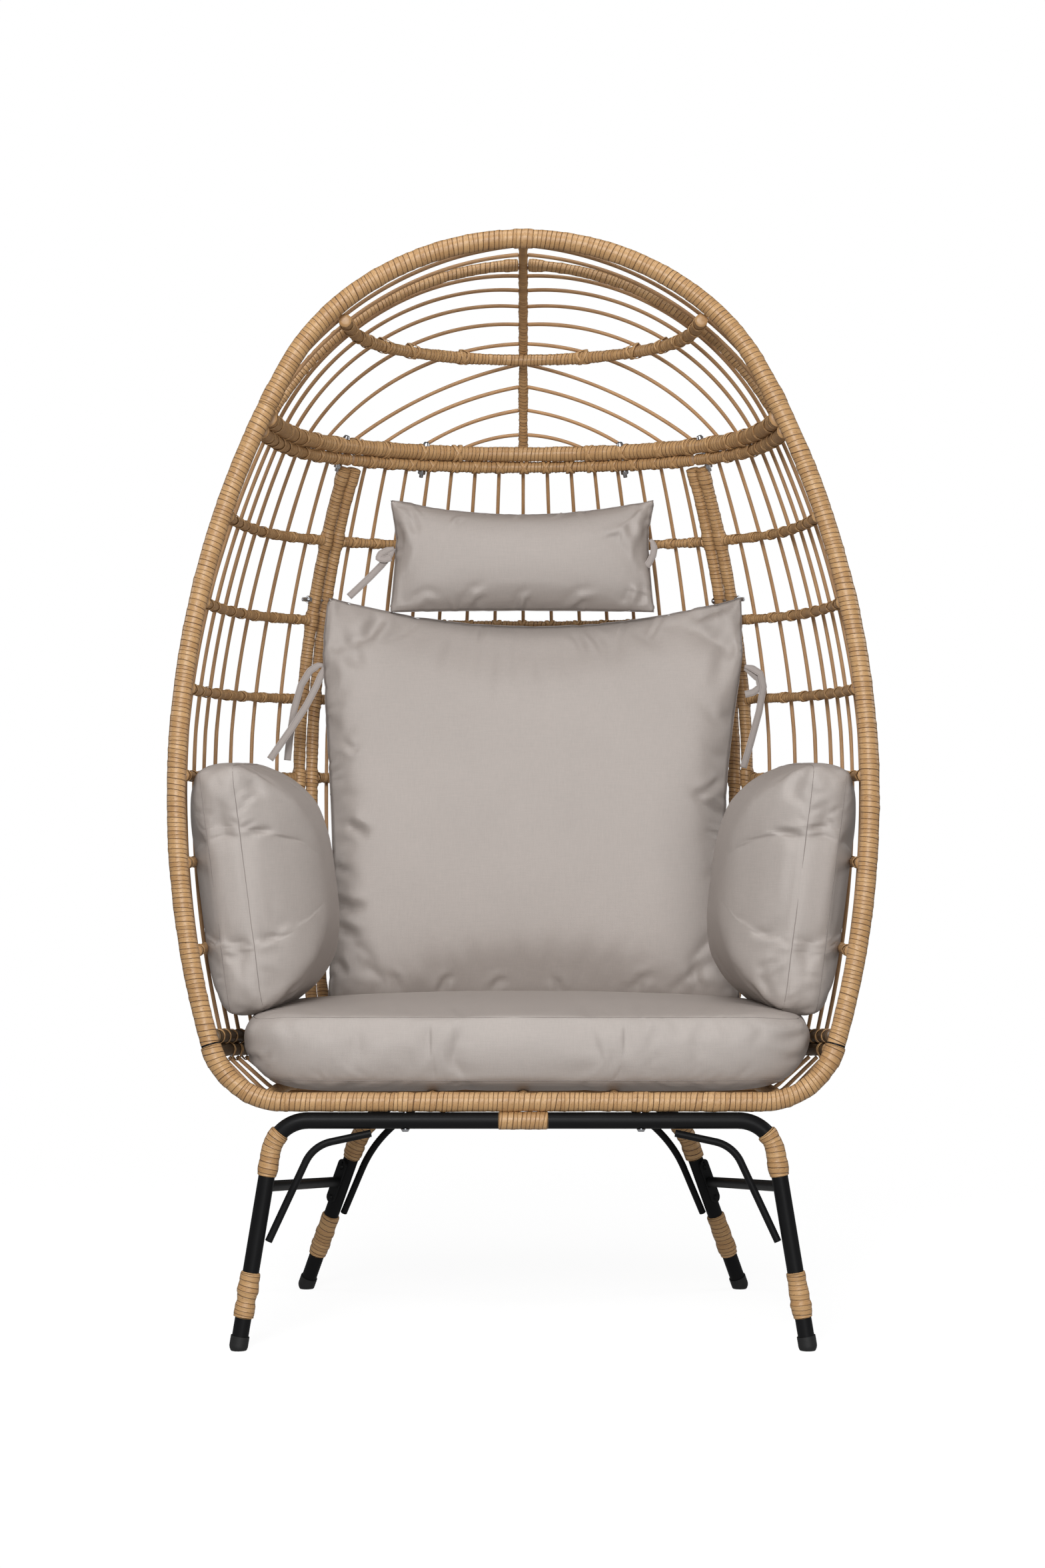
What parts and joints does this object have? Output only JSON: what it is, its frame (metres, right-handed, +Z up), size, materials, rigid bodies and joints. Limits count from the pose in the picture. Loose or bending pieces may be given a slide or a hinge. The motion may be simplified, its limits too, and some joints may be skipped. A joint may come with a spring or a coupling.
{
  "type": "garden egg chair",
  "caption": "Egg-shaped garden armchair: an open basket of wrapped tubes and thin rods on a black four-leg base, with seat, back, head and side cushions.",
  "frame": {"origin": "on the floor, at the middle of the width and of the depth, so the feet stand on Z = 0", "axes": "+Z up, +X to the right seen from the front, the sitter looks towards -Y"},
  "size_m": [0.95, 0.7398, 1.5027],
  "materials": {
    "rattan": "flat woven strip wound round a tube, matt with a fine grain",
    "rod": "thin round strand, satin",
    "black_steel": "satin powder coat",
    "rubber": "matt",
    "zinc": "bright zinc",
    "cloth": "plain weave, matt",
    "tape": "flat woven tape, matt"
  },
  "bodies": {
    "frame": {"canopy_rim": "rattan", "canopy_arch": "rattan", "canopy_hoop": "rattan", "canopy_spine": "rattan", "canopy_lower_rail": "rattan", "canopy_ribs_left": "rod", "canopy_ribs_right": "rod", "side_rim_left": "rattan", "side_rim_right": "rattan", "side_post_left": "rattan", "side_post_right": "rattan", "side_top_rail_left": "rattan", "side_top_rail_right": "rattan", "side_rails_left": "rattan", "side_rails_right": "rattan", "side_bottom_rail_left": "rattan", "side_bottom_rail_right": "rattan", "side_rods_left": "rod", "side_rods_right": "rod", "back_post_left": "rattan", "back_post_right": "rattan", "back_top_rail": "rattan", "back_rails": "rattan", "back_bottom_rail": "rattan", "back_rods": "rod", "seat_front_rim": "rattan", "seat_upper_rail": "rattan", "seat_floor_rail": "rattan", "seat_long_rails": "rattan", "seat_cross_rods": "rod", "seat_rear_rods": "rod", "joint_sleeves": "black_steel", "front_leg_frame": "black_steel", "rear_leg_frame": "black_steel", "stretcher_left": "black_steel", "stretcher_right": "black_steel", "front_braces": "black_steel", "rear_braces": "black_steel", "foot_front_left": "rubber", "foot_front_right": "rubber", "foot_rear_left": "rubber", "foot_rear_right": "rubber", "base_wraps": "rattan", "canopy_bolts": "zinc", "post_bolts": "zinc", "base_bolts": "zinc", "stretcher_screws": "black_steel", "back_cushion": "cloth", "head_pillow": "cloth", "back_tie_left": "tape", "back_tie_right": "tape", "pillow_tie_left": "tape", "pillow_tie_right": "tape"},
    "seat_pad": {"seat_cushion": "cloth"},
    "side_pad_left": {"side_cushion_left": "cloth", "zip_pulls": "zinc"},
    "side_pad_right": {"side_cushion_right": "cloth"}
  },
  "joints": [
    {"name": "seat_cushion_pull", "type": "slide", "parent": "frame", "child": "seat_pad", "axis": [0, -1, 0], "range_m": [0, 0.6]},
    {"name": "side_cushion_left_lift", "type": "slide", "parent": "frame", "child": "side_pad_left", "axis": [0.2548, -0.9174, 0.3058], "range_m": [0, 0.7]},
    {"name": "side_cushion_right_lift", "type": "slide", "parent": "frame", "child": "side_pad_right", "axis": [-0.2548, -0.9174, 0.3058], "range_m": [0, 0.7]}
  ]
}
